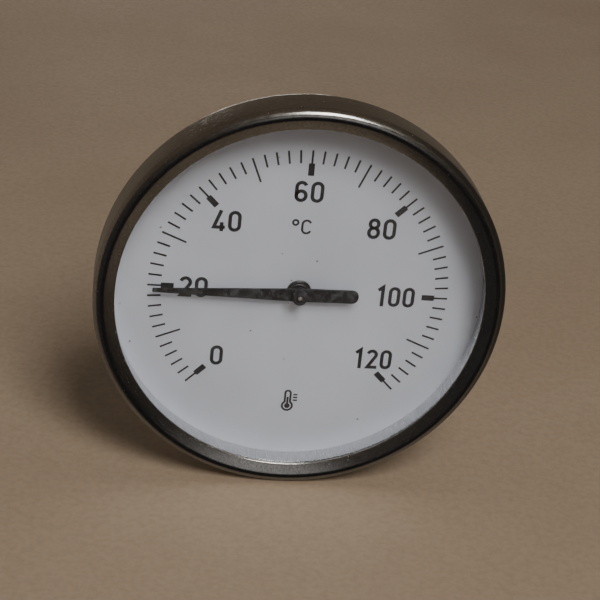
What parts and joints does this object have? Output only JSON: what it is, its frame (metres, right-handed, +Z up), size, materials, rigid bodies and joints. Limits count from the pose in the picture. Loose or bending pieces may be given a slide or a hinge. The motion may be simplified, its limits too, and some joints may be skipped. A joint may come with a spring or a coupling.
{
  "type": "dial thermometer",
  "caption": "Round dial thermometer with a pressed metal bezel, flat glass, black pointer and a bimetal stem on a threaded fitting at the back.",
  "frame": {"origin": "on the axis, in the plane of the sealing shoulder at the back of the hexagon", "axes": "+Y along the axis towards the end of the stem, so the dial faces -Y; +Z up the dial, through 60 degrees"},
  "size_m": [0.082, 0.0753, 0.082],
  "materials": {
    "bezel_metal": "polished plate over pressed steel, finely brushed on the lip",
    "case_steel": "drawn steel, satin plate",
    "inner_steel": "bright steel strip",
    "bright_steel": "ground bright",
    "brass": "turned, lightly tarnished",
    "bimetal_strip": "rolled strip, dull",
    "window_glass": "clear, lightly smudged",
    "dial_white": "matt white enamel with printed black scale",
    "pointer_black": "matt black",
    "black_rubber": "matt"
  },
  "bodies": {
    "housing": {"bezel_ring": "bezel_metal", "window_glass": "window_glass", "window_gasket": "black_rubber", "glass_spacer_ring": "inner_steel", "dial_plate": "dial_white", "dial_support_ring": "inner_steel", "case_body": "case_steel", "case_seal_washer": "black_rubber", "lock_washer": "bright_steel", "lock_nut": "brass", "threaded_fitting": "brass", "stem_tube": "brass", "stem_end_plug": "brass", "helix_anchor": "brass", "bimetal_helix": "bimetal_strip", "spindle_guide": "brass", "bearing_bush": "brass"},
    "pointer": {"spindle": "bright_steel", "helix_collet": "brass", "pointer_blade": "pointer_black", "pointer_hub": "pointer_black"}
  },
  "joints": [
    {"name": "pointer_turn", "type": "hinge", "parent": "housing", "child": "pointer", "pos_m": [0, 0, 0], "axis": [0, 1, 0], "range_deg": [-44.3, 225.7], "stiffness_Nm_per_rad": 0.0007, "deforming": ["bimetal_helix"]}
  ]
}
